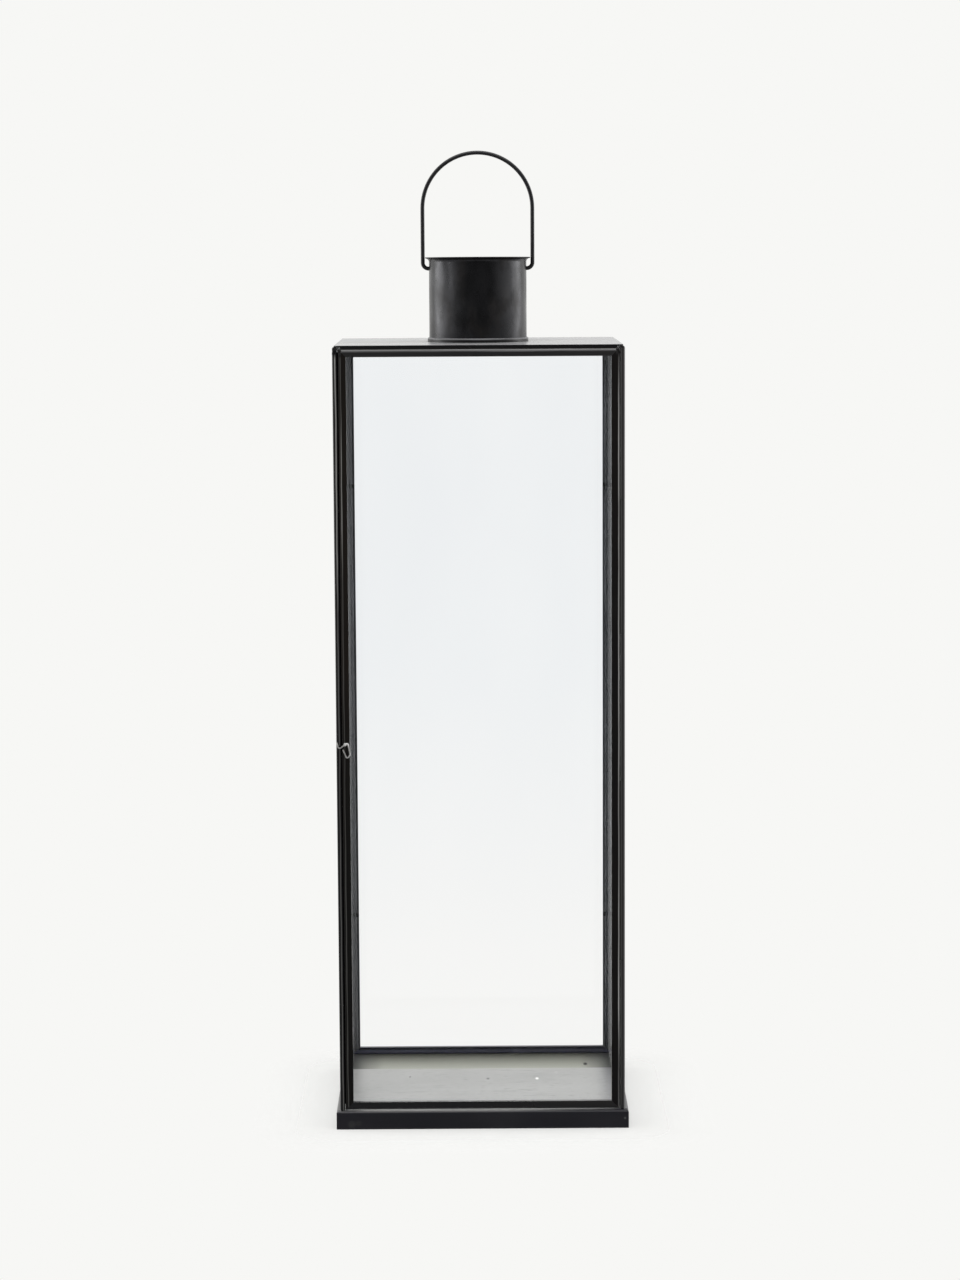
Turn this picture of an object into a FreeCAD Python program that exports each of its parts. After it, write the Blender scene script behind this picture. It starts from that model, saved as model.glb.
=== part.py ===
import FreeCAD, Part
import math
import os

# Tall candle lantern: a folded base, three glazed panels, a hinged glazed door, a flat roof with an open chimney,
# a wire bail and a wire latch. Millimetres. The origin is under the middle of the base, X runs to the right,
# the door faces -Y and Z points up.

Vector = FreeCAD.Vector
X_AXIS = Vector(1, 0, 0)
Y_AXIS = Vector(0, 1, 0)
Z_AXIS = Vector(0, 0, 1)

# Base tray
base_width = 220.0
base_depth = 176.5
base_height = 13.5
base_sheet = 1.0
base_bend = 1.4

# Glazed panels: round-nosed bars, with a pane that lies against their inner faces and is held by bent tabs
panel_inset = 2.75
panel_height = 573.5
bar_face = 6.0
bar_thick = 3.6
glass_thick = 2.0
pane_lap = 1.6
tab_sheet = 0.4
tab_width = 3.0
tab_play = 0.05
tab_reach = 1.2
tab_places = (0.2, 0.8)

# Roof, and the folded strip under its front edge
roof_sheet = 1.0
roof_inset = 1.4
vent_ledge = 2.0
head_sheet = 0.7
head_drop = 5.0
head_flange = 6.0
head_play = 0.1

# Chimney
collar_radius = 36.8
collar_sheet = 0.8
collar_height = 63.2
rim_flare = 2.8
ring_width = 1.2
ring_height = 3.2
ring_play = 0.05

# Bail
bail_wire = 3.0
bail_drop = 8.4
bail_rise = 45.0
bail_side_gap = 0.3
bail_bend_gap = 0.3
bail_play = 0.08
bail_pin_inside = 3.0

# Door and hinge
door_side_gap = 0.45
door_bottom_gap = 0.8
door_top_gap = 1.4
door_stop_gap = 0.4
barrel_radius = 1.8
barrel_gap = 0.35
rod_radius = 1.0
hinge_play = 0.05
hinge_web = 1.6
hinge_web_bite = 0.4
knuckle_gap = 0.4
knuckle_lengths = (113.5, 137.0, 109.5, 99.5)
rod_head_radius = 1.5
rod_head_height = 0.8

# Latch: heights and places are measured from the floor of the lantern and from the pin that the hook turns on
latch_height = 279.5
latch_setback = 2.5
latch_wire = 1.0
latch_bend = 1.0
latch_gap = 0.3
latch_play = 0.05
latch_eye_radius = 1.15
latch_eye_thick = 0.8
latch_pin_radius = 0.45
latch_head_radius = 0.95
latch_head_height = 0.5
latch_crest = 2.6
latch_tip = 3.4
latch_tip_lean = 108.0
loop_right = 3.7
loop_right_drop = 7.5
loop_bottom = 1.4
loop_bottom_drop = 10.9
loop_left = 1.5
loop_left_drop = 3.8
keeper_radius = 0.5
keeper_inset = 0.9
keeper_drop = 1.2
keeper_root = 1.0
keeper_reach = 2.0

# Places that follow from the sizes
nose = bar_thick / 2
pane_margin = bar_face - pane_lap
floor_z = base_height
roof_z = floor_z + panel_height
roof_top = roof_z + roof_sheet
side_x = base_width / 2 - panel_inset - nose
inner_x = side_x - nose
front_y = panel_inset - base_depth / 2
rear_y = -front_y
door_y = front_y + nose
barrel_room = barrel_radius + barrel_gap
door_left = -inner_x + door_side_gap
door_right = side_x - barrel_room
door_bottom = floor_z + door_bottom_gap
door_top = roof_z - door_top_gap
collar_bore = collar_radius - collar_sheet
collar_top = roof_top + collar_height
bail_radius = bail_wire / 2
bail_pivot_z = collar_top - bail_drop
latch_y = front_y - latch_gap - latch_wire / 2
latch_z = floor_z + latch_height
latch_x = door_left + latch_setback
keeper_x = -inner_x - keeper_inset
keeper_z = latch_z - keeper_drop


def block(low, high):
    """A block between two opposite corners."""
    return Part.makeBox(high[0] - low[0], high[1] - low[1], high[2] - low[2], Vector(*low))


def line(start, end):
    return Part.LineSegment(start, end).toShape()


def arc(start, middle, end):
    return Part.Arc(start, middle, end).toShape()


def wire_along(edges, radius):
    """Round wire of one radius along a smooth run of edges."""
    path = Part.Wire(edges)
    start = edges[0].valueAt(edges[0].FirstParameter)
    heading = edges[0].tangentAt(edges[0].FirstParameter)
    section = Part.Wire([Part.Circle(start, heading, radius).toShape()])
    return path.makePipeShell([section], True, False)


def placed(shape, origin, along, inward):
    """A copy of the shape with its X turned along one direction and its Y inward."""
    across = along.cross(inward)
    columns = (along, inward, across, origin)
    rows = [[getattr(column, axis) for column in columns] for axis in "xyz"]
    copy = shape.copy()
    copy.Placement = FreeCAD.Placement(FreeCAD.Matrix(*rows[0], *rows[1], *rows[2], 0, 0, 0, 1))
    return copy


def bar(length):
    """Bar along X with mitred ends: its round nose is on Y = 0 and its flat edge faces +Y."""
    outline = [
        line(Vector(0, nose, -nose), Vector(0, bar_face, -nose)),
        line(Vector(0, bar_face, -nose), Vector(0, bar_face, nose)),
        line(Vector(0, bar_face, nose), Vector(0, nose, nose)),
        arc(Vector(0, nose, nose), Vector(0, 0, 0), Vector(0, nose, -nose)),
    ]
    square_ended = Part.Face(Part.Wire(outline)).extrude(X_AXIS * length)
    mitres = Part.makePolygon([
        Vector(0, 0, -bar_thick),
        Vector(length, 0, -bar_thick),
        Vector(length - bar_face, bar_face, -bar_thick),
        Vector(bar_face, bar_face, -bar_thick),
        Vector(0, 0, -bar_thick),
    ])
    return square_ended.common(Part.Face(mitres).extrude(Z_AXIS * 2 * bar_thick))


def pane_tabs(width, height):
    """Tabs that stand on both stiles of a panel in the XY plane and bend over the edges of its pane."""
    foot = pane_margin - tab_play
    glass_face = nose + glass_thick
    riser = block((foot - tab_sheet, 0, nose), (foot, tab_width, glass_face))
    arm = block((foot - tab_sheet, 0, glass_face), (pane_margin + tab_reach, tab_width, glass_face + tab_sheet))
    tab = riser.fuse(arm).removeSplitter()
    tabs = []
    for place in tab_places:
        low = place * height - tab_width / 2
        tabs.append(placed(tab, Vector(0, low, 0), X_AXIS, Y_AXIS))
        tabs.append(placed(tab, Vector(width, low + tab_width, 0), -X_AXIS, -Y_AXIS))
    return Part.makeCompound(tabs)


def glazed_panel(name, first, last, corner, across, width, height):
    """Two stiles, two rails, a pane and its tabs, in a plane that starts at a lower corner and runs across and up.
    The inside of the lantern is on the right of someone who looks across."""
    far_corner = corner + across * width
    upper_corner = corner + Z_AXIS * height
    pane = block(
        (pane_margin, pane_margin, nose), (width - pane_margin, height - pane_margin, nose + glass_thick))
    return {
        f"{name}_{first}_stile": placed(bar(height), corner, Z_AXIS, across),
        f"{name}_{last}_stile": placed(bar(height), far_corner, Z_AXIS, -across),
        f"{name}_top_rail": placed(bar(width), upper_corner, across, -Z_AXIS),
        f"{name}_bottom_rail": placed(bar(width), corner, across, Z_AXIS),
        f"{name}_glass": placed(pane, corner, across, Z_AXIS),
        f"{name}_pane_tabs": placed(pane_tabs(width, height), corner, across, Z_AXIS),
    }


def fixed_panels():
    """Left, back and right panels. The right one ends behind the hinge, and the back one is between the others."""
    right_end = door_y + barrel_room
    left_corner = Vector(-side_x, front_y, floor_z)
    back_corner = Vector(-inner_x, rear_y - nose, floor_z)
    right_corner = Vector(side_x, rear_y, floor_z)
    panels = glazed_panel("left", "front", "rear", left_corner, Y_AXIS, rear_y - front_y, panel_height)
    panels.update(glazed_panel("back", "left", "right", back_corner, X_AXIS, 2 * inner_x, panel_height))
    panels.update(glazed_panel("right", "rear", "front", right_corner, -Y_AXIS, rear_y - right_end, panel_height))
    return panels


def door_panel():
    corner = Vector(door_right, door_y, door_bottom)
    return glazed_panel("door", "hinge", "latch", corner, -X_AXIS, door_right - door_left, door_top - door_bottom)


def base_pan():
    """Sheet tray, open below, with its top edges bent to a radius."""
    def tray(margin, height, bend):
        reach_x = base_width / 2 - margin
        reach_y = base_depth / 2 - margin
        solid = block((-reach_x, -reach_y, 0), (reach_x, reach_y, height))
        rim = [edge for edge in solid.Edges if edge.BoundBox.ZMin > height / 2]
        return solid.makeFillet(bend, rim)

    outer = tray(0, base_height, base_bend)
    inner = tray(base_sheet, base_height - base_sheet, base_bend - base_sheet)
    return outer.cut(inner)


def roof_plate():
    reach_x = base_width / 2 - panel_inset - roof_inset
    reach_y = rear_y - roof_inset
    vent = Part.makeCylinder(collar_bore - vent_ledge, roof_sheet, Vector(0, 0, roof_z))
    return block((-reach_x, -reach_y, roof_z), (reach_x, reach_y, roof_top)).cut(vent)


def head_angle():
    """Folded strip under the roof's front edge: its leg hangs just behind the door's top rail."""
    reach = inner_x - glass_thick - head_play
    stop_y = front_y + bar_thick + door_stop_gap
    leg = block((-reach, stop_y, roof_z - head_drop), (reach, stop_y + head_sheet, roof_z))
    flange = block((-reach, stop_y, roof_z - head_sheet), (reach, stop_y + head_flange, roof_z))
    return leg.fuse(flange).removeSplitter()


def turned(outline):
    """The solid that a closed outline in the XZ plane sweeps round the chimney's axis."""
    return Part.Face(Part.Wire(outline)).revolve(Vector(0, 0, 0), Z_AXIS, 360)


def chimney_collar():
    """Tube on the roof whose top edge turns outwards through a quarter circle, with holes for the bail's ends."""
    flare_z = collar_top - collar_sheet - rim_flare
    rim_radius = collar_radius + rim_flare
    diagonal = math.sqrt(0.5)

    def on_flare(radius):
        return Vector(rim_radius - radius * diagonal, 0, flare_z + radius * diagonal)

    foot = Vector(collar_radius, 0, roof_top)
    outer_turn = Vector(collar_radius, 0, flare_z)
    lip_under = Vector(rim_radius, 0, flare_z + rim_flare)
    lip_top = Vector(rim_radius, 0, collar_top)
    inner_turn = Vector(collar_bore, 0, flare_z)
    inner_foot = Vector(collar_bore, 0, roof_top)
    collar = turned([
        line(foot, outer_turn),
        arc(outer_turn, on_flare(rim_flare), lip_under),
        line(lip_under, lip_top),
        arc(lip_top, on_flare(rim_flare + collar_sheet), inner_turn),
        line(inner_turn, inner_foot),
        line(inner_foot, foot),
    ])
    drill = Part.makeCylinder(
        bail_radius + bail_play, 2 * rim_radius, Vector(-rim_radius, 0, bail_pivot_z), X_AXIS)
    return collar.cut(drill)


def chimney_base_ring():
    """Ring round the collar's foot with a quarter-round upper edge."""
    bore = collar_radius + ring_play
    outside = bore + ring_width
    shoulder_z = roof_top + ring_height - ring_width
    diagonal = ring_width * math.sqrt(0.5)
    inner_foot = Vector(bore, 0, roof_top)
    outer_foot = Vector(outside, 0, roof_top)
    shoulder = Vector(outside, 0, shoulder_z)
    crown = Vector(bore, 0, roof_top + ring_height)
    return turned([
        line(inner_foot, outer_foot),
        line(outer_foot, shoulder),
        arc(shoulder, Vector(bore + diagonal, 0, shoulder_z + diagonal), crown),
        line(crown, inner_foot),
    ])


def bail():
    """Wire arch just outside the chimney's lip, with its ends bent inwards through the collar's holes."""
    leg = collar_radius + rim_flare + bail_side_gap + bail_radius
    bend = leg - collar_radius - bail_bend_gap
    tail = collar_bore - bail_pin_inside
    arch_z = bail_pivot_z + bail_rise
    mid_bend = bend * (1 - math.sqrt(0.5))

    def at(side, x, z):
        return Vector(side * x, 0, z)

    def end_points(side):
        return [
            at(side, tail, bail_pivot_z),
            at(side, leg - bend, bail_pivot_z),
            at(side, leg - mid_bend, bail_pivot_z + mid_bend),
            at(side, leg, bail_pivot_z + bend),
            at(side, leg, arch_z),
        ]

    left = end_points(-1)
    right = end_points(1)
    return wire_along([
        line(left[0], left[1]),
        arc(left[1], left[2], left[3]),
        line(left[3], left[4]),
        arc(left[4], Vector(0, 0, arch_z + leg), right[4]),
        line(right[4], right[3]),
        arc(right[3], right[2], right[1]),
        line(right[1], right[0]),
    ], bail_radius)


def knuckle(low, high, toward, carrier):
    """One hinge tube with a web towards the stile that carries it, seated on that stile and bored for the rod."""
    foot = Vector(side_x, door_y, low)
    tube = Part.makeCylinder(barrel_radius, high - low, foot)
    bore = Part.makeCylinder(rod_radius + hinge_play, high - low, foot)
    reach = barrel_room + hinge_web_bite
    web = block((0, -hinge_web / 2, 0), (reach, hinge_web / 2, high - low))
    web = placed(web, foot, toward, Z_AXIS.cross(toward))
    return tube.fuse(web).cut(carrier).cut(bore).removeSplitter()


def hinge(door_stile, post_stile):
    """Five tubes in line on one rod: the first, third and fifth are on the post, the others on the door."""
    ends = [door_bottom]
    for length in knuckle_lengths:
        ends.append(ends[-1] + length)
    ends.append(door_top)
    post_tubes = []
    door_tubes = []
    for index in range(len(ends) - 1):
        low = ends[index] + (knuckle_gap / 2 if index > 0 else 0)
        high = ends[index + 1] - (knuckle_gap / 2 if index < len(ends) - 2 else 0)
        if index % 2 == 0:
            post_tubes.append(knuckle(low, high, Y_AXIS, post_stile))
        else:
            door_tubes.append(knuckle(low, high, -X_AXIS, door_stile))
    rod = Part.makeCylinder(rod_radius, door_top - floor_z, Vector(side_x, door_y, floor_z))
    head = Part.makeCylinder(rod_head_radius, rod_head_height, Vector(side_x, door_y, door_top))
    return {
        "post_knuckles": Part.makeCompound(post_tubes),
        "door_knuckles": Part.makeCompound(door_tubes),
        "hinge_rod": rod.fuse(head),
    }


def rounded(points, radius):
    """Edges through the points, with every corner between the ends rounded to one radius."""
    edges = []
    start = points[0]
    for before, corner, after in zip(points, points[1:], points[2:]):
        back = (before - corner).normalize()
        ahead = (after - corner).normalize()
        half_angle = back.getAngle(ahead) / 2
        setback = radius / math.tan(half_angle)
        centre = corner + (back + ahead).normalize() * (radius / math.sin(half_angle))
        bend_start = corner + back * setback
        bend_end = corner + ahead * setback
        bend_middle = centre + (corner - centre).normalize() * radius
        edges.append(line(start, bend_start))
        edges.append(arc(bend_start, bend_middle, bend_end))
        start = bend_end
    edges.append(line(start, points[-1]))
    return edges


def latch_hook():
    """Bent wire: a tip that cups the keeper from below, an eye for the pin, and a finger loop that hangs."""
    ring = keeper_radius + latch_gap + latch_wire / 2
    keeper = Vector(keeper_x, latch_y, keeper_z)
    pin = Vector(latch_x, latch_y, latch_z)

    def round_keeper(angle):
        return keeper + Vector(math.cos(angle), 0, math.sin(angle)) * ring

    to_pin = pin - keeper
    arm_angle = math.atan2(to_pin.z, to_pin.x) - math.acos(ring / to_pin.Length)
    lean = math.radians(latch_tip_lean)
    tip_angle = lean - 3 * math.pi / 2
    cup_end = round_keeper(arm_angle)
    cup_start = round_keeper(tip_angle)
    cup_middle = round_keeper((arm_angle + tip_angle) / 2)
    tip = cup_start + Vector(math.cos(lean), 0, math.sin(lean)) * latch_tip
    crest = pin + (pin - cup_end).normalize() * latch_crest
    loop = [
        cup_end,
        crest,
        pin + Vector(loop_right, 0, -loop_right_drop),
        pin + Vector(loop_bottom, 0, -loop_bottom_drop),
        pin + Vector(-loop_left, 0, -loop_left_drop),
    ]
    cup = [line(tip, cup_start), arc(cup_start, cup_middle, cup_end)]
    wire = wire_along(cup + rounded(loop, latch_bend), latch_wire / 2)
    eye_back = pin + Y_AXIS * (latch_eye_thick / 2)
    eye = Part.makeCylinder(latch_eye_radius, latch_eye_thick, eye_back, -Y_AXIS)
    hole_back = pin + Y_AXIS * latch_wire
    hole = Part.makeCylinder(latch_pin_radius + latch_play, 2 * latch_wire, hole_back, -Y_AXIS)
    return wire.fuse(eye).cut(hole)


def latch_pivot():
    """Headed pin that stands on the door's latch stile."""
    shank_length = latch_wire + 2 * latch_gap
    foot = Vector(latch_x, front_y, latch_z)
    shank = Part.makeCylinder(latch_pin_radius, shank_length, foot, -Y_AXIS)
    head = Part.makeCylinder(latch_head_radius, latch_head_height, foot - Y_AXIS * shank_length, -Y_AXIS)
    return shank.fuse(head)


def latch_keeper(post_stile):
    """Stud on the round front edge of the left post."""
    root = Vector(keeper_x, front_y + keeper_root, keeper_z)
    return Part.makeCylinder(keeper_radius, keeper_root + keeper_reach, root, -Y_AXIS).cut(post_stile)


def lantern():
    nodes = {"base_pan": base_pan()}
    nodes.update(fixed_panels())
    nodes.update(door_panel())
    nodes.update(hinge(nodes["door_hinge_stile"], nodes["right_front_stile"]))
    nodes["head_angle"] = head_angle()
    nodes["roof_plate"] = roof_plate()
    nodes["chimney_collar"] = chimney_collar()
    nodes["chimney_base_ring"] = chimney_base_ring()
    nodes["bail"] = bail()
    nodes["latch_hook"] = latch_hook()
    nodes["latch_pivot"] = latch_pivot()
    nodes["latch_keeper"] = latch_keeper(nodes["left_front_stile"])
    return nodes


os.makedirs("parts", exist_ok=True)
for node, shape in lantern().items():
    shape.exportStep(f"parts/{node}.step")
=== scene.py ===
"""Looks of a tall candle lantern: blackened sheet iron, four clear panes and a bright bent-wire latch.

Lengths are metres in the part's own frame: X to the right, Y to the back, Z up, with the base on Z = 0.
"""

import math

import bpy
import numpy as np
from mathutils import Matrix, Vector


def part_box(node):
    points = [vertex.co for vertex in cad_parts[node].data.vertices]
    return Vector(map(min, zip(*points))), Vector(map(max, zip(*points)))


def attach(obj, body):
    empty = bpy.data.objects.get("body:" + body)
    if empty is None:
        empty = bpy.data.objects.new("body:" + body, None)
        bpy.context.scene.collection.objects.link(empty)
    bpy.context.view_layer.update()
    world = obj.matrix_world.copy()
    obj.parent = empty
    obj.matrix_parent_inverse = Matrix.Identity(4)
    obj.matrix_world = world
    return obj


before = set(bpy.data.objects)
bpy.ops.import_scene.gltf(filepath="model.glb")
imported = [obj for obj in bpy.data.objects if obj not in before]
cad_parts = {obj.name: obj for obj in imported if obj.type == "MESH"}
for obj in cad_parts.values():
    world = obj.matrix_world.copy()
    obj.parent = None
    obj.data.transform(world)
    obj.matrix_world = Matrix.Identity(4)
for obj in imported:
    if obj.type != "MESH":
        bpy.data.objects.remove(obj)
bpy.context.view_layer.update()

MM = 0.001

# Places that the pieces share, read from the part
tray_low, tray_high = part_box("base_pan")
roof_low, roof_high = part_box("roof_plate")
post_low, post_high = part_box("left_front_stile")
back_stile_low, back_stile_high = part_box("back_left_stile")
door_low, door_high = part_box("door_top_rail")
ring_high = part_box("chimney_base_ring")[1]
lip_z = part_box("chimney_collar")[1].z
inside_front_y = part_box("door_latch_stile")[1].y
side_pane_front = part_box("left_glass")[0].y
floor_z = tray_high.z
post_nose = (post_high.x - post_low.x) / 2
post_x, post_y = -post_low.x - post_nose, -post_low.y - post_nose


# Solder

BEAD_ROWS, BEAD_COLUMNS = 11, 18
POLE_GAP = 0.06
LUMP_TURN = 1.7
HINGE_CORNER_SCALE = 0.7


def solder_lumps(name, body, finish, middles, sizes):
    """Lumps of solder, made as one piece that rides body: ellipsoids about middles with half-lengths sizes.

    On latitude v and longitude u, the radius of each lump swells by
    0.12 sin(2u + turn) sin 2v + 0.08 sin(3u - 2 turn) sin 3v, with a turn of its own.
    A cap closes each pole.
    """
    v = np.linspace(POLE_GAP, np.pi - POLE_GAP, BEAD_ROWS)[:, None]
    u = np.linspace(0, 2 * np.pi, BEAD_COLUMNS, endpoint=False)
    turn = LUMP_TURN * np.arange(len(middles))[:, None, None]
    swell = 1 + 0.12 * np.sin(2 * u + turn) * np.sin(2 * v)
    swell = swell + 0.08 * np.sin(3 * u - 2 * turn) * np.sin(3 * v)
    ball = np.stack(np.broadcast_arrays(np.sin(v) * np.cos(u), np.sin(v) * np.sin(u), np.cos(v)), axis=-1)
    points = middles[:, None, None] + sizes[:, None, None] * ball * swell[..., None]
    index = np.arange(points.size // 3).reshape(points.shape[:3])
    beside = np.roll(index, -1, axis=2)
    quads = np.stack((index[:, :-1], index[:, 1:], beside[:, 1:], beside[:, :-1]), axis=-1).reshape(-1, 4)
    caps = np.concatenate((index[:, 0], index[:, -1, ::-1]))
    mesh = bpy.data.meshes.new(name)
    mesh.from_pydata(points.reshape(-1, 3).tolist(), [], quads.tolist() + caps.tolist())
    mesh.polygons.foreach_set("use_smooth", np.ones(len(mesh.polygons), bool))
    mesh.materials.append(finish)
    mesh.update()
    made = bpy.data.objects.new(name, mesh)
    bpy.context.scene.collection.objects.link(made)
    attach(made, body)


def corner_solder(finish):
    """Solder where the posts meet the roof: three lumps at each corner.

    They are placed in millimetres outwards along X and Y, and upwards, from the post's middle at the roof's
    underside. On the hinge corner they are smaller, clear of the door.
    """
    places = np.array([(0.15, 0.5, -1.6), (-0.6, 0.6, 0.1), (0.9, 0.3, -4.4)])
    sizes = np.array([(1.6, 1.6, 1.9), (1.0, 1.0, 0.7), (1.0, 1.5, 2.3)])
    sides = np.array([(-1, -1, 1), (1, -1, 1), (-1, 1, 1), (1, 1, 1)])
    scales = np.array([1.0, HINGE_CORNER_SCALE, 1.0, 1.0])[:, None, None] * MM
    middles = sides[:, None] * ((post_x, post_y, roof_low.z) + places * scales)
    sizes = sizes * scales
    solder_lumps("corner_solder", "lantern_frame", finish, middles.reshape(-1, 3), sizes.reshape(-1, 3))


def door_solder(finish):
    """Solder on the mitres at the door's two top corners: two lumps at each.

    They are placed in millimetres inwards, backwards and upwards from the corner.
    """
    corners = np.array([(door_low.x, door_low.y, door_high.z), (door_high.x, door_low.y, door_high.z)])
    places = np.array([(1.6, 0.3, -1.3), (1.9, 0.25, -4.0)]) * MM
    sizes = np.array([(1.25, 0.75, 1.0), (0.9, 0.6, 1.5)]) * MM
    inwards = np.array([(1, 1, 1), (-1, 1, 1)])
    middles = corners[:, None] + places * inwards[:, None]
    solder_lumps("door_solder", "door", finish, middles.reshape(-1, 3), np.tile(sizes, (2, 1)))


# Steps that the finishes are made of

def add(tree, kind, inputs=None, **settings):
    """A shader node with its settings made and its inputs set or linked by name."""
    made = tree.nodes.new(kind)
    for key, value in settings.items():
        setattr(made, key, value)
    for key, value in (inputs or {}).items():
        if isinstance(value, bpy.types.NodeSocket):
            tree.links.new(value, made.inputs[key])
        else:
            made.inputs[key].default_value = value
    return made


def new_finish(name):
    """An empty material: its node tree, its output and the Object coordinates that every pattern reads."""
    material = bpy.data.materials.new(name)
    material.use_nodes = True
    tree = material.node_tree
    tree.nodes.clear()
    output = add(tree, "ShaderNodeOutputMaterial")
    place = add(tree, "ShaderNodeTexCoord").outputs["Object"]
    return material, tree, output, place


def coat(tree, output, inputs):
    """A Principled surface with these inputs, led to the output."""
    shader = add(tree, "ShaderNodeBsdfPrincipled", inputs)
    tree.links.new(shader.outputs[0], output.inputs["Surface"])


def split(tree, vector):
    """A vector's three parts."""
    return add(tree, "ShaderNodeSeparateXYZ", {"Vector": vector}).outputs


def reckon(tree, operation, *values):
    """One step of arithmetic on one or two values."""
    return add(tree, "ShaderNodeMath", dict(enumerate(values)), operation=operation).outputs[0]


def times(tree, a, b):
    """The product of two values."""
    return reckon(tree, "MULTIPLY", a, b)


def reckon_vector(tree, operation, *vectors):
    """One step of arithmetic on one or two vectors."""
    made = add(tree, "ShaderNodeVectorMath", dict(enumerate(vectors)), operation=operation)
    return made.outputs["Vector"]


def length(tree, vector):
    """A vector's length."""
    return add(tree, "ShaderNodeVectorMath", {0: vector}, operation="LENGTH").outputs["Value"]


def noise(tree, place, pitch, stretch=(1, 1, 1), detail=2.0, shift=0.0):
    """Noise from 0 to 1 whose lumps are about pitch apart, drawn out along each axis by stretch."""
    scale = [1 / (pitch * s) for s in stretch]
    start = (shift, shift, shift)
    mapped = add(tree, "ShaderNodeMapping", {"Vector": place, "Location": start, "Scale": scale})
    made = add(tree, "ShaderNodeTexNoise", {"Vector": mapped.outputs[0], "Scale": 1.0, "Detail": detail})
    return made.outputs["Fac"]


def span(tree, value, low, high, to_low=0.0, to_high=1.0):
    """A straight run from to_low where value is low to to_high where it is high, held beyond both."""
    made = add(tree, "ShaderNodeMapRange", {
        "Value": value, "From Min": low, "From Max": high, "To Min": to_low, "To Max": to_high})
    return made.outputs["Result"]


def mix(tree, share, a, b):
    """Colour a where share is 0 and colour b where it is 1."""
    made = add(tree, "ShaderNodeMix", {"Factor": share}, data_type="RGBA")
    for socket, colour in ((made.inputs[6], a), (made.inputs[7], b)):
        if isinstance(colour, bpy.types.NodeSocket):
            tree.links.new(colour, socket)
        else:
            socket.default_value = (*colour, 1)
    return made.outputs[2]


def bump(tree, height, depth, under=None):
    """Relief of a given depth in metres, laid over another relief if one is given."""
    inputs = {"Height": height, "Distance": depth, "Strength": 1.0}
    if under is not None:
        inputs["Normal"] = under
    return add(tree, "ShaderNodeBump", inputs).outputs["Normal"]


def spot(tree, place, centre, radius, drawn=(1, 1, 1)):
    """A mark drawn out along each axis by drawn: 1 within half its radius and 0 beyond its radius."""
    away = reckon_vector(tree, "DIVIDE", reckon_vector(tree, "SUBTRACT", place, centre), drawn)
    return span(tree, length(tree, away), 0.5 * radius, radius, 1.0, 0.0)


# Black oxide

ALONG_X, ALONG_Y, ALONG_Z, EVEN = (8, 1, 1), (1, 8, 1), (1, 1, 8), (1, 1, 1)
BAR_IOR, RAIL_IOR, DULL_IOR = 1.3, 2.2, 1.45
GRAIN_DEPTH = 0.012 * MM
PLAIN_GLOSS, DULLED_GLOSS = 0.5, 0.03
RUST_BROWN = (0.020, 0.014, 0.010)
RUBBED_GREY = (0.030, 0.030, 0.032)
# Painted highlight lines along the bars, partly rubbed wear: how they fade outside their band of heights
RIDGE_BAND_FADE = 40 * MM
RIDGE_OUTSIDE_BAND = 0.28
RIDGE_WANDER = 0.25 * MM
DULLING_EDGE = 0.15 * MM
GLOSS_PATCHES = (0.60, 0.60, 0.63), (1.0, 1.0, 1.07)
RING_BLACK, RING_HIGHLIGHT_GREY = (0.0050, 0.0050, 0.0058), (0.16, 0.16, 0.168)


def highlight_and_wear_line(tree, place, axis, centre, reach, band):
    """A light line along a bar at centre on axis: a painted highlight that is partly rubbed wear.

    It is 1 within 0.4 of reach and 0 beyond reach. It wanders sideways, comes and goes along the bar, and
    ends below the roof on an upright. If a band of heights is given, it is brightest within that band.
    """
    # Painted highlight along the bar's edge, partly rubbed wear
    parts = split(tree, place)
    bends = noise(tree, place, 45 * MM, detail=2.0, shift=4.4)
    middle = reckon(tree, "ADD", span(tree, bends, 0.3, 0.7, -RIDGE_WANDER, RIDGE_WANDER), centre)
    away = reckon(tree, "ABSOLUTE", reckon(tree, "SUBTRACT", parts[axis], middle))
    drawn = ALONG_X if axis == "Z" else ALONG_Z
    lighter_share = span(tree, noise(tree, place, 14 * MM, drawn, detail=4.0, shift=6.1), 0.35, 0.6, 0.55, 1.0)
    if axis == "X":
        lighter_share = times(tree, lighter_share, span(tree, parts["Z"], roof_low.z - 9 * MM, roof_low.z - 5 * MM, 1.0, 0.0))
    if band:
        low, high = band
        lighter_share = times(tree, lighter_share, span(tree, parts["Z"], low - RIDGE_BAND_FADE, low, RIDGE_OUTSIDE_BAND, 1.0))
        lighter_share = times(tree, lighter_share, span(tree, parts["Z"], high, high + RIDGE_BAND_FADE, 1.0, RIDGE_OUTSIDE_BAND))
    return times(tree, span(tree, away, 0.4 * reach, reach, 1.0, 0.0), lighter_share)


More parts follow.
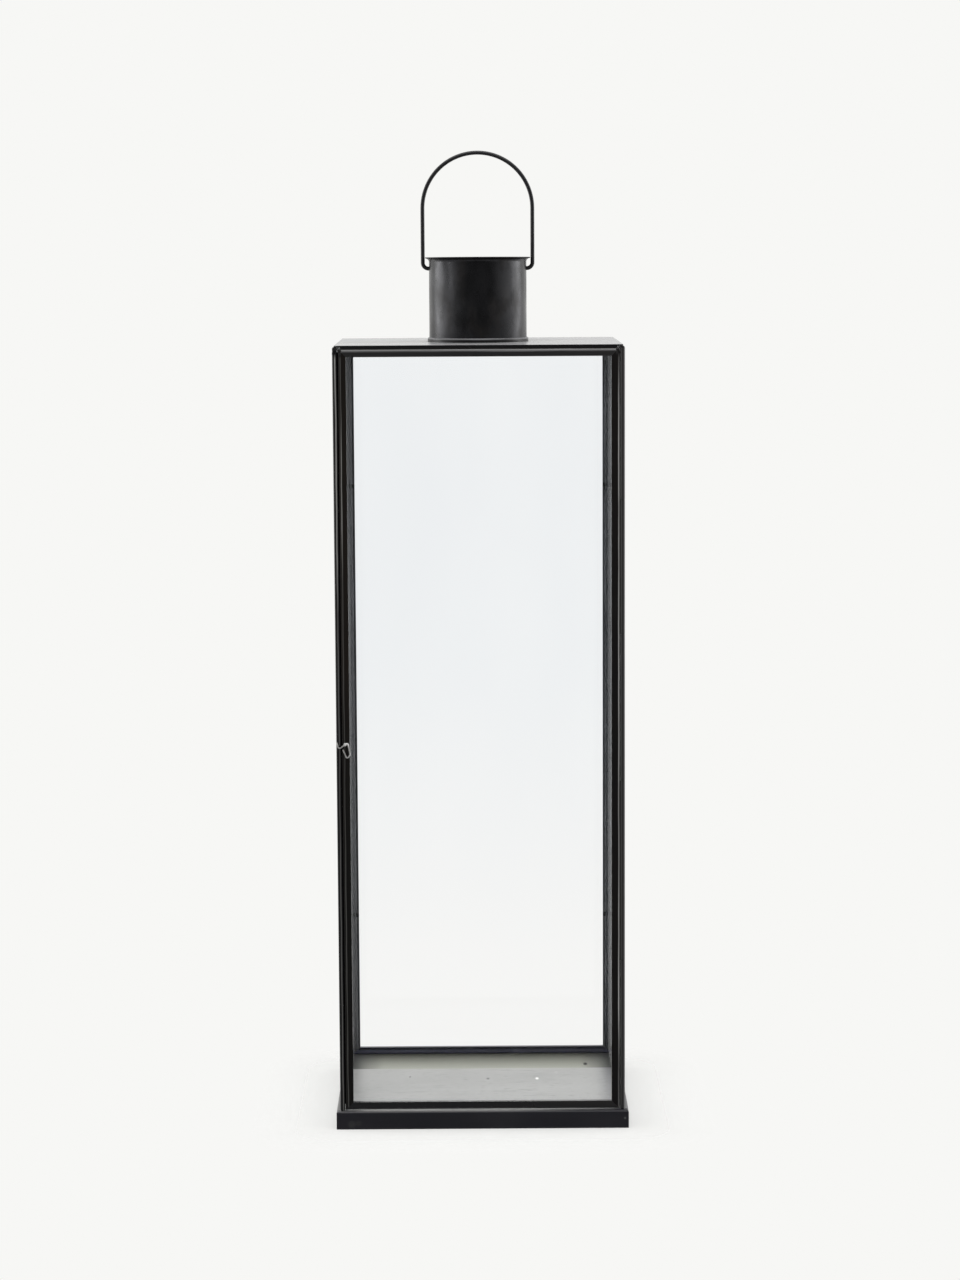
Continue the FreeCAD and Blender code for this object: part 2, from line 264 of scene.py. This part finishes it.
def black_oxide(name, drawn, black, brown_share=0.5, roughness=0.24, wave=0.25 * MM, ior=BAR_IOR,
                cloud=60 * MM, ridge=None, patch=None, soot_and_shade_above=None):
    """Satin black oxide on hand-worked sheet: brown clouds, streaks rubbed along drawn, waves and grain.

    A ridge is a light line, a painted highlight that is partly rubbed wear: its axis, its place there, its
    reach, its shade and its band of heights. If a patch size is given, the gloss comes and goes in patches
    of that size. Above a given height the gloss is dulled by soot, and on the door's top rail by painted
    shade under the roof.
    """
    material, tree, output, place = new_finish(name)
    clouds = noise(tree, place, cloud, drawn, detail=3.0)
    streaks = noise(tree, place, 3 * MM, [s * 4 for s in drawn], detail=4.0, shift=3.1)
    grain = noise(tree, place, 0.5 * MM, detail=2.0, shift=7.7)
    waves = noise(tree, place, 24 * MM, drawn, detail=1.0, shift=1.3)
    colour = mix(tree, span(tree, clouds, 0.5, 0.72, 0.0, brown_share), black, RUST_BROWN)
    colour = mix(tree, span(tree, streaks, 0.62, 0.85, 0.0, 0.55), colour, RUBBED_GREY)
    if ridge:
        axis, centre, reach, shade, band = ridge
        colour = mix(tree, highlight_and_wear_line(tree, place, axis, centre, reach, band), colour, shade)
    surface = {
        "Base Color": colour,
        "Roughness": span(tree, clouds, 0.3, 0.75, roughness - 0.07, roughness + 0.12),
        "IOR": ior,
        "Normal": bump(tree, grain, GRAIN_DEPTH, bump(tree, waves, wave)),
    }
    # Gloss dulled above a height: soot, and on the door's top rail painted shade under the roof's edge
    if soot_and_shade_above:
        soot = span(tree, split(tree, place)["Z"], soot_and_shade_above - DULLING_EDGE, soot_and_shade_above + DULLING_EDGE)
        surface["Specular IOR Level"] = span(tree, soot, 0, 1, PLAIN_GLOSS, DULLED_GLOSS)
    if patch:
        bloom = span(tree, noise(tree, place, patch, drawn, detail=3.0, shift=8.3), 0.42, 0.56)
        surface["Specular Tint"] = mix(tree, bloom, *GLOSS_PATCHES)
    coat(tree, output, surface)
    return material


def collar_ring_iron():
    """The ring at the chimney's foot: black, with a painted highlight in grey along its upper edge."""
    material, tree, output, place = new_finish("collar_ring_iron")
    patches = noise(tree, place, 9 * MM, detail=3.0)
    # Painted highlight: the ring's upper edge is grey where it faces the light above
    upper_edge = span(tree, split(tree, place)["Z"], ring_high.z - 1.5 * MM, ring_high.z - 0.9 * MM)
    lighter_share = times(tree, upper_edge, span(tree, patches, 0.3, 0.6, 0.6, 1.0))
    coat(tree, output, {
        "Base Color": mix(tree, lighter_share, RING_BLACK, RING_HIGHLIGHT_GREY),
        "Roughness": span(tree, patches, 0.3, 0.7, 0.28, 0.42),
        "IOR": DULL_IOR,
        "Normal": bump(tree, patches, 0.05 * MM),
    })
    return material


# Dusty sheet

SHEET_IOR = 1.5
MATTE_GLOSS = 0.05
STRIP_FRONT = 37 * MM
STRIP_EDGE = 0.6 * MM
MARK_DRAWN = (1, 2.6, 1)
SKIRT_BLACKS = (0.0172, 0.0166, 0.0222), (0.0226, 0.0219, 0.0275)
FLOOR_DUST = (0.325, 0.325, 0.318), (0.427, 0.427, 0.417)
DRAGGED_DUST = (0.43, 0.43, 0.42)
PANE_REFLECTION_BLUE = (0.17, 0.17, 0.20)
DARK_CRUMB, LIGHT_SPECK = (0.20, 0.20, 0.195), (0.52, 0.52, 0.51)
SCUFF_GREY = (0.24, 0.245, 0.24)
RAIL_REFLECTION_OLIVE = (0.33, 0.335, 0.288), (0.42, 0.425, 0.37)
RAIL_REFLECTION_DARK, CORNER_SHADE = (0.070, 0.072, 0.058), (0.050, 0.051, 0.054)
ROOF_BLACK = (0.0075, 0.0075, 0.0082)
ROOF_DUST = (0.34, 0.34, 0.346), (0.41, 0.41, 0.417)

# Marks on the floor: X, Y and radius in millimetres, and shade
FLOOR_MARKS = (
    (42.9, 5.6, 1.7, (0.90, 0.90, 0.88)),
    (82.2, 49.0, 2.0, (0.01, 0.01, 0.011)),
    (58.2, 23.6, 1.9, (0.42, 0.42, 0.41)),
    (-56.4, 12.5, 0.9, (0.04, 0.04, 0.04)),
    (4.6, 6.0, 1.5, (0.12, 0.12, 0.12)),
    (-103.0, -2.0, 3.4, (0.16, 0.16, 0.16)),
)

# Marks on the front of the skirt: X, Z and radius in millimetres, and shade
SKIRT_MARKS = (
    (-98.5, 4.0, 3.6, (0.035, 0.035, 0.037)),
    (-93.5, 4.6, 2.8, (0.030, 0.030, 0.032)),
    (107.2, 7.6, 1.1, (0.10, 0.10, 0.10)),
)


def tray_cover(tree, x, y, across, inside):
    """How pale the tray's top is: dusty all inside the lantern, and pale in part on the ledge before the
    door.

    That ledge is darker at its ends and front edge, and the ledges beside the posts are darker too.
    """
    right_end = span(tree, x, 20 * MM, 75 * MM, 0.8, 0.08)
    left_end = span(tree, x, -96 * MM, -88 * MM, 0.25, 1.0)
    front_edge = span(tree, y, tray_low.y + 1.2 * MM, tray_low.y + 2.4 * MM, 0.3, 1.0)
    ledge = times(tree, times(tree, right_end, left_end), front_edge)
    cover = reckon(tree, "MAXIMUM", ledge, inside)
    return times(tree, cover, span(tree, across, -post_low.x, 0.2 * MM - post_low.x, 1.0, 0.35))


def floor_dust(tree, place, x, clouds):
    """Pale grey dust dragged along X, a painted bluish reflection by the right pane, crumbs, scuffs and
    light specks.
    """
    drag = noise(tree, place, 4 * MM, (9, 1, 1), detail=3.0, shift=2.2)
    crumbs = noise(tree, place, 3 * MM, (1.5, 1, 1), detail=5.0, shift=9.4)
    scuffs = noise(tree, place, 7 * MM, (3.5, 1, 1), detail=4.0, shift=12.6)
    dust = mix(tree, span(tree, clouds, 0.3, 0.7), *FLOOR_DUST)
    dust = mix(tree, span(tree, drag, 0.55, 0.8, 0.0, 0.5), dust, DRAGGED_DUST)
    # Painted reflection: bluish grey on the floor by the right pane
    dust = mix(tree, span(tree, x, 88 * MM, 101 * MM, 0.0, 0.5), dust, PANE_REFLECTION_BLUE)
    dust = mix(tree, span(tree, crumbs, 0.58, 0.74, 0.0, 0.7), dust, DARK_CRUMB)
    dust = mix(tree, span(tree, scuffs, 0.60, 0.70, 0.0, 0.45), dust, SCUFF_GREY)
    return mix(tree, span(tree, crumbs, 0.38, 0.25, 0.0, 0.5), dust, LIGHT_SPECK)


def painted_rail_reflection(tree, y, across, clouds):
    """The olive strip at the back of the floor, a painted reflection of the back bottom rail.

    It is darker towards the back stiles, with painted shade in the corners at both ends.
    """
    # Painted reflection of the back bottom rail, darker towards it, with painted shade at both ends
    dull = mix(tree, clouds, *RAIL_REFLECTION_OLIVE)
    dull = mix(tree, span(tree, y, STRIP_FRONT + 1 * MM, back_stile_low.y), dull, RAIL_REFLECTION_DARK)
    return mix(tree, span(tree, across, 78 * MM, 100 * MM, 0.0, 0.8), dull, CORNER_SHADE)


def tray_marks(tree, place, colour):
    """The colour with a drop of wax, crumbs of soot and rub marks on it, all drawn out along Y."""
    marks = [((x * MM, y * MM, floor_z), radius, shade) for x, y, radius, shade in FLOOR_MARKS]
    marks += [((x * MM, tray_low.y, z * MM), radius, shade) for x, z, radius, shade in SKIRT_MARKS]
    for centre, radius, shade in marks:
        colour = mix(tree, spot(tree, place, centre, radius * MM, MARK_DRAWN), colour, shade)
    return colour


def tray_iron():
    """The base: black on its skirt, an olive strip at the back of the floor, and pale dust on the rest.

    The olive strip is a painted reflection of the back bottom rail, with painted shade at its ends. The
    strip and the right end of the front ledge are matte.
    """
    material, tree, output, place = new_finish("tray_iron")
    x, y, z = split(tree, place)
    across = reckon(tree, "ABSOLUTE", x)
    clouds = noise(tree, place, 45 * MM, (1.6, 1, 1), detail=4.0)
    grain = noise(tree, place, 0.6 * MM, detail=2.0, shift=5.0)
    waves = noise(tree, place, 35 * MM, detail=1.0, shift=1.3)
    on_top = span(tree, z, floor_z - 0.5 * MM, floor_z - 0.1 * MM)
    inside = span(tree, y, inside_front_y - 1 * MM, inside_front_y)
    at_back = span(tree, y, STRIP_FRONT - STRIP_EDGE, STRIP_FRONT + STRIP_EDGE)
    black = mix(tree, span(tree, clouds, 0.45, 0.75), *SKIRT_BLACKS)
    # Pale dust in front, and the painted rail reflection in the olive strip at the back
    floor = mix(tree, at_back, floor_dust(tree, place, x, clouds), painted_rail_reflection(tree, y, across, clouds))
    dusty = times(tree, on_top, tray_cover(tree, x, y, across, inside))
    bare_end = times(tree, span(tree, x, 10 * MM, 60 * MM), span(tree, inside, 0, 1, 1.0, 0.0))
    matte = times(tree, on_top, reckon(tree, "MAXIMUM", at_back, bare_end))
    coat(tree, output, {
        "Base Color": tray_marks(tree, place, mix(tree, dusty, black, floor)),
        "Roughness": span(tree, clouds, 0.3, 0.75, 0.30, 0.42),
        "IOR": SHEET_IOR,
        "Specular IOR Level": span(tree, matte, 0, 1, PLAIN_GLOSS, MATTE_GLOSS),
        "Normal": bump(tree, grain, GRAIN_DEPTH, bump(tree, waves, 0.25 * MM)),
    })
    return material


def roof_iron():
    """The roof sheet: pale dust on top, black on its edges, and a painted shadow ring round the chimney's
    foot.
    """
    material, tree, output, place = new_finish("roof_iron")
    clouds = noise(tree, place, 40 * MM, (2, 1, 1), detail=4.0)
    grain = noise(tree, place, 0.5 * MM, detail=2.0, shift=7.7)
    waves = noise(tree, place, 30 * MM, (1.5, 1, 1), detail=1.0, shift=1.3)
    on_top = span(tree, split(tree, place)["Z"], roof_high.z - 0.12 * MM, roof_high.z - 0.04 * MM)
    radius = length(tree, reckon_vector(tree, "MULTIPLY", place, (1, 1, 0)))
    # Painted shadow: the dust thins to black in a ring round the chimney's foot
    outside_ring_shadow = span(tree, radius, ring_high.x + 0.8 * MM, ring_high.x + 2.0 * MM, 0.15, 1.0)
    dust = mix(tree, span(tree, clouds, 0.3, 0.7), *ROOF_DUST)
    coat(tree, output, {
        "Base Color": mix(tree, times(tree, on_top, outside_ring_shadow), ROOF_BLACK, dust),
        "Roughness": span(tree, clouds, 0.3, 0.75, 0.20, 0.36),
        "IOR": SHEET_IOR,
        "Normal": bump(tree, grain, GRAIN_DEPTH, bump(tree, waves, 0.35 * MM)),
    })
    return material


# Glass and latch wire

GLASS_IOR = 1.2
# The clearer foot is painted light; higher up the glass is smeared and faintly blue
BRIGHTENED_FOOT_GLASS = (0.997, 0.998, 1.0)
SMEARED_GLASS = (0.971, 0.981, 0.994), (0.953, 0.965, 0.982)
GLASS_SHADOW = (0.95, 0.96, 0.97, 1)
BRIGHTENED_BELOW, SMEARED_ABOVE = 100 * MM, 330 * MM
BRIGHT_WIRE, DULL_WIRE = (0.66, 0.65, 0.63), (0.34, 0.335, 0.325)
WIRE_HIGHLIGHT = (1.0, 0.99, 0.97)
LATCH_BEND = (-98.9 * MM, -86.3 * MM, 295.0 * MM)
LATCH_BEND_REACH = 4.5 * MM

# Film on the side panes: its shares at the foot, the middle and the top, and the heights where they change
LEFT_FILM, RIGHT_FILM = (0.056, 0.125, 0.050), (0.24, 0.175, 0.21)
FOOT_TO_MIDDLE, MIDDLE_TO_TOP = (210 * MM, 290 * MM), (410 * MM, 450 * MM)
FILM_SPREAD = 0.4


def pane_glass(name, film_shares=None):
    """Clear float glass that lamps shine through, a little smeared and faintly blue above its foot.

    Its foot is kept clearer: painted light that offsets the shade seen through the lower panes.

    If shares for the foot, the middle and the top are given, a film of dust shows where the pane is seen
    nearly edge on, and the pane's front end is black.
    """
    material, tree, output, place = new_finish(name)
    _, y, z = split(tree, place)
    smears = noise(tree, place, 90 * MM, (1, 1, 2.5), detail=3.0)
    smeared = mix(tree, span(tree, smears, 0.35, 0.7), *SMEARED_GLASS)
    # Painted light: clearer towards the foot, offsetting the shade seen through the lower panes
    colour = mix(tree, span(tree, z, BRIGHTENED_BELOW, SMEARED_ABOVE), BRIGHTENED_FOOT_GLASS, smeared)
    surface = {
        "Roughness": span(tree, smears, 0.5, 0.8, 0.0, 0.03),
        "IOR": GLASS_IOR,
        "Transmission Weight": 1.0,
    }
    if film_shares:
        foot, middle, top = film_shares
        behind_end = span(tree, y, side_pane_front + 0.3 * MM, side_pane_front + 0.5 * MM)
        colour = mix(tree, behind_end, (0, 0, 0), colour)
        lower = span(tree, z, *FOOT_TO_MIDDLE, foot, middle)
        surface["Sheen Weight"] = times(tree, lower, span(tree, z, *MIDDLE_TO_TOP, 1.0, top / middle))
        surface["Sheen Roughness"] = FILM_SPREAD
    surface["Base Color"] = colour
    shader = add(tree, "ShaderNodeBsdfPrincipled", surface)
    clear = add(tree, "ShaderNodeBsdfTransparent", {"Color": GLASS_SHADOW})
    shadow_ray = add(tree, "ShaderNodeLightPath").outputs["Is Shadow Ray"]
    both = add(tree, "ShaderNodeMixShader", {0: shadow_ray, 1: shader.outputs[0], 2: clear.outputs[0]})
    tree.links.new(both.outputs[0], output.inputs["Surface"])
    return material


def latch_wire_steel():
    """Drawn wire with fine scratches and dull patches, and a painted highlight at the top of its loop."""
    material, tree, output, place = new_finish("latch_wire_steel")
    dull = noise(tree, place, 2.5 * MM, detail=3.0)
    scratches = noise(tree, place, 0.25 * MM, detail=3.0, shift=4.0)
    # Painted highlight: a pale, less metallic spot where the wire bends at the top of its loop
    bend_highlight = spot(tree, place, LATCH_BEND, LATCH_BEND_REACH)
    wire = mix(tree, span(tree, dull, 0.4, 0.7), BRIGHT_WIRE, DULL_WIRE)
    coat(tree, output, {
        "Base Color": mix(tree, bend_highlight, wire, WIRE_HIGHLIGHT),
        "Metallic": span(tree, bend_highlight, 0, 1, 0.5, 0.1),
        "Roughness": span(tree, dull, 0.3, 0.7, 0.18, 0.38),
        "Normal": bump(tree, scratches, 0.01 * MM),
    })
    return material


# Finishes of the pieces

BLACK = (0.0082, 0.0082, 0.0090)
RAIL_BLACK = (0.0050, 0.0050, 0.0055)
STILE_BLACK = (0.0095, 0.0090, 0.0084)
BACK_LEFT_GREY = (0.074, 0.076, 0.081)
BACK_RIGHT_GREY = (0.022, 0.024, 0.028)
BACK_RAIL_BLUE = (0.053, 0.055, 0.086)
COLLAR_BLACK = (0.0078, 0.0078, 0.0082)
BAIL_BLACK = (0.014, 0.014, 0.016)
HINGE_BLACK = (0.020, 0.020, 0.020)
SOLDER_BLACK = (0.010, 0.010, 0.011)
COLLAR_DRAWN = (1, 1, 1.8)
COLLAR_IOR, HINGE_IOR, SOLDER_IOR = 1.5, 1.8, 1.4

# Light lines, painted highlights that are partly rubbed wear: axis, place on it, reach to either side,
# shade, and the heights where the line is brightest
POST_RIDGE = ("X", post_low.x + 2.25 * MM, 0.62 * MM, (0.45, 0.445, 0.425), (430 * MM, 640 * MM))
LATCH_RIDGE = ("X", door_low.x + 2.05 * MM, 0.5 * MM, (0.31, 0.307, 0.29), (455 * MM, 505 * MM))
HINGE_RIDGE = ("X", door_high.x - 0.7 * MM, 0.58 * MM, (0.53, 0.53, 0.52), (90 * MM, 540 * MM))
# The top rail's line is a painted highlight that carries its nose's reflection lower down
TOP_RIDGE = ("Z", door_high.z - 1.65 * MM, 1.0 * MM, (0.17, 0.17, 0.172), None)
BACK_LEFT_RIDGE = ("X", back_stile_high.x, 2.3 * MM, (0.36, 0.367, 0.375), None)
BACK_RIGHT_RIDGE = ("X", -back_stile_high.x, 2.2 * MM, (0.54, 0.56, 0.59), None)

upright_iron = black_oxide("upright_iron", ALONG_Z, BLACK)
cross_iron = black_oxide("cross_iron", ALONG_X, RAIL_BLACK, ior=RAIL_IOR)
side_iron = black_oxide("side_iron", ALONG_Y, BLACK, soot_and_shade_above=roof_low.z - 12 * MM)
hinge_iron = black_oxide(
    "hinge_iron", ALONG_Z, HINGE_BLACK, brown_share=0.6, roughness=0.30, wave=0.05 * MM, ior=HINGE_IOR)
back_rail_iron = black_oxide("back_cross_iron", ALONG_X, BACK_RAIL_BLUE, brown_share=0.2, ior=DULL_IOR)
solder_iron = black_oxide(
    "solder_iron", EVEN, SOLDER_BLACK, brown_share=0.4, roughness=0.34, wave=0.2 * MM, ior=SOLDER_IOR,
    cloud=3 * MM)
clear_glass = pane_glass("pane_glass")
latch_steel = latch_wire_steel()

OWN_FINISHES = {
    "base_pan": tray_iron(),
    "roof_plate": roof_iron(),
    "chimney_collar": black_oxide(
        "collar_iron", COLLAR_DRAWN, COLLAR_BLACK, brown_share=0.35, roughness=0.30, wave=1.3 * MM,
        ior=COLLAR_IOR, cloud=13 * MM, patch=11 * MM, soot_and_shade_above=lip_z - 1.6 * MM),
    "chimney_base_ring": collar_ring_iron(),
    "bail": black_oxide(
        "bail_iron", EVEN, BAIL_BLACK, brown_share=0.3, roughness=0.36, wave=0.0, ior=DULL_IOR),
    "post_knuckles": hinge_iron,
    "door_knuckles": hinge_iron,
    "left_front_stile": black_oxide("latch_post_iron", ALONG_Z, BLACK, ridge=POST_RIDGE),
    "door_latch_stile": black_oxide(
        "latch_stile_iron", ALONG_Z, STILE_BLACK, brown_share=1.0, ridge=LATCH_RIDGE),
    "door_hinge_stile": black_oxide("hinge_stile_iron", ALONG_Z, BLACK, ridge=HINGE_RIDGE),
    # The door's top rail: its top dulled as painted shade under the roof's edge
    "door_top_rail": black_oxide(
        "top_rail_iron", ALONG_X, RAIL_BLACK, ior=RAIL_IOR, ridge=TOP_RIDGE,
        soot_and_shade_above=door_high.z - 0.8 * MM),
    "latch_hook": latch_steel,
    "latch_pivot": latch_steel,
    "back_left_stile": black_oxide(
        "back_left_iron", ALONG_Z, BACK_LEFT_GREY, brown_share=0.2, ior=DULL_IOR, cloud=25 * MM,
        ridge=BACK_LEFT_RIDGE),
    "back_right_stile": black_oxide(
        "back_right_iron", ALONG_Z, BACK_RIGHT_GREY, brown_share=0.2, ior=DULL_IOR, cloud=25 * MM,
        ridge=BACK_RIGHT_RIDGE),
    "back_top_rail": back_rail_iron,
    "back_bottom_rail": back_rail_iron,
    "left_glass": pane_glass("left_pane_glass", LEFT_FILM),
    "right_glass": pane_glass("right_pane_glass", RIGHT_FILM),
}


def finish_for(name):
    """A node's finish: its own if it has one, or else glass, or iron whose streaks run along the piece."""
    if name in OWN_FINISHES:
        return OWN_FINISHES[name]
    if name.endswith("_glass"):
        return clear_glass
    if name.endswith("_rail"):
        return side_iron if name.startswith(("left", "right")) else cross_iron
    return cross_iron if name == "head_angle" else upright_iron


for name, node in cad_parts.items():
    node.material_slots[0].material = finish_for(name)

corner_solder(solder_iron)
door_solder(solder_iron)


# Studio

BACKDROP = (0.930, 0.930, 0.913)
PAPER_SHADE = (0.920, 0.920, 0.903)
DARK_FRONT = (0.06, 0.06, 0.063)
PLAIN_LIGHT = (0.55, 0.55, 0.55)
FLOOR_HALF = 3.0
SHADOW_REACH = 0.065
SHADOW_CLEAR = 0.50
PALE_BESIDE, PALE_ABOVE = (-0.82, -0.10), (0.20, 0.60)

# Lamps: name, place, aim, width, height and watts
SOFTBOXES = (
    ("top_softbox", (0, -0.3, 2.0), (0, -0.2, 0), 1.6, 0.6, 12),
    ("left_softbox", (-1.7, 0.45, 0.8), (0, 0, 0.4), 0.8, 1.6, 12),
    ("right_softbox", (1.7, 0.45, 0.8), (0, 0, 0.4), 0.8, 1.6, 10),
    ("bead_strip", (-1.75, -0.75, 0.42), (0, 0, 0.5), 0.3, 0.4, 1.0),
)

CAMERA_PLACE = (-0.00796, -2.43296, 0.66814)
CAMERA_PAN, CAMERA_TILT, CAMERA_ROLL = 0.00336, 0.12605, -0.00554
CAMERA_SENSOR, CAMERA_LENS = 36.0, 90.0


def studio_floor():
    """Pale floor that takes the lantern's shadow: half clear at the base's edge, all clear 65 mm from it.

    Metal and glass see a dark cloth on the part of it in front of the door.
    """
    material, tree, output, place = new_finish("studio_floor")
    past_base = reckon_vector(tree, "SUBTRACT", reckon_vector(tree, "ABSOLUTE", place), tray_high)
    distance = length(tree, reckon_vector(tree, "MAXIMUM", past_base, (0, 0, 0)))
    paper = mix(tree, noise(tree, place, 0.25, detail=2.0), PAPER_SHADE, BACKDROP)
    in_front = span(tree, split(tree, place)["Y"], tray_low.y - 4 * MM, tray_low.y, 1.0, 0.0)
    glossy_ray = add(tree, "ShaderNodeLightPath").outputs["Is Glossy Ray"]
    colour = mix(tree, times(tree, glossy_ray, in_front), paper, DARK_FRONT)
    matte = add(tree, "ShaderNodeBsdfDiffuse", {"Color": colour})
    clear = add(tree, "ShaderNodeBsdfTransparent")
    thinned = span(tree, distance, 0.0, SHADOW_REACH, SHADOW_CLEAR, 1.0)
    both = add(tree, "ShaderNodeMixShader", {0: thinned, 1: matte.outputs[0], 2: clear.outputs[0]})
    tree.links.new(both.outputs[0], output.inputs["Surface"])
    corners = np.array([(-1, -1, 0), (1, -1, 0), (1, 1, 0), (-1, 1, 0)]) * FLOOR_HALF
    mesh = bpy.data.meshes.new("studio_floor")
    mesh.from_pydata(corners.tolist(), [], [(0, 1, 2, 3)])
    mesh.materials.append(material)
    made = bpy.data.objects.new("studio_floor", mesh)
    bpy.context.scene.collection.objects.link(made)


def studio_world():
    """White to the camera and through glass, and plain light on the lantern.

    Metal sees white behind, beside and above it, and dark in front of the door.
    """
    world = bpy.data.worlds.new("studio_world")
    world.use_nodes = True
    tree = world.node_tree
    tree.nodes.clear()
    path = add(tree, "ShaderNodeLightPath").outputs
    _, back, up = split(tree, add(tree, "ShaderNodeTexCoord").outputs["Generated"])
    pale = reckon(tree, "MAXIMUM", span(tree, back, *PALE_BESIDE), span(tree, up, *PALE_ABOVE))
    mirrored = mix(tree, pale, DARK_FRONT, BACKDROP)
    clear_view = reckon(tree, "MAXIMUM", path["Is Camera Ray"], path["Is Transmission Ray"])
    colour = mix(tree, path["Is Glossy Ray"], PLAIN_LIGHT, mirrored)
    light = add(tree, "ShaderNodeBackground", {"Color": mix(tree, clear_view, colour, BACKDROP)})
    output = add(tree, "ShaderNodeOutputWorld")
    tree.links.new(light.outputs[0], output.inputs["Surface"])
    bpy.context.scene.world = world


def softbox(name, place, aim, width, height, watts):
    """A rectangular soft lamp at place that faces aim and doesn't show through the panes."""
    lamp = bpy.data.lights.new(name, "AREA")
    lamp.shape = "RECTANGLE"
    lamp.size = width
    lamp.size_y = height
    lamp.energy = watts
    made = bpy.data.objects.new(name, lamp)
    made.visible_transmission = False
    made.location = place
    made.rotation_euler = (Vector(aim) - Vector(place)).to_track_quat("-Z", "Y").to_euler()
    bpy.context.scene.collection.objects.link(made)


def camera(pan, tilt, roll):
    """The photograph's view: turned by pan about Z, tipped down by tilt, then rolled by roll."""
    forward = Vector((math.sin(pan) * math.cos(tilt), math.cos(pan) * math.cos(tilt), -math.sin(tilt)))
    level = Vector((math.cos(pan), -math.sin(pan), 0))
    upward = level.cross(forward)
    right = math.cos(roll) * level + math.sin(roll) * upward
    up = -math.sin(roll) * level + math.cos(roll) * upward
    data = bpy.data.cameras.new("camera")
    data.sensor_fit = "AUTO"
    data.sensor_width = CAMERA_SENSOR
    data.lens = CAMERA_LENS
    made = bpy.data.objects.new("camera", data)
    bpy.context.scene.collection.objects.link(made)
    place = Matrix((right, up, -forward)).transposed().to_4x4()
    place.translation = CAMERA_PLACE
    made.matrix_world = place
    bpy.context.scene.camera = made


studio_floor()
studio_world()
for lamp in SOFTBOXES:
    softbox(*lamp)
camera(CAMERA_PAN, CAMERA_TILT, CAMERA_ROLL)
bpy.context.scene.view_settings.view_transform = "Standard"
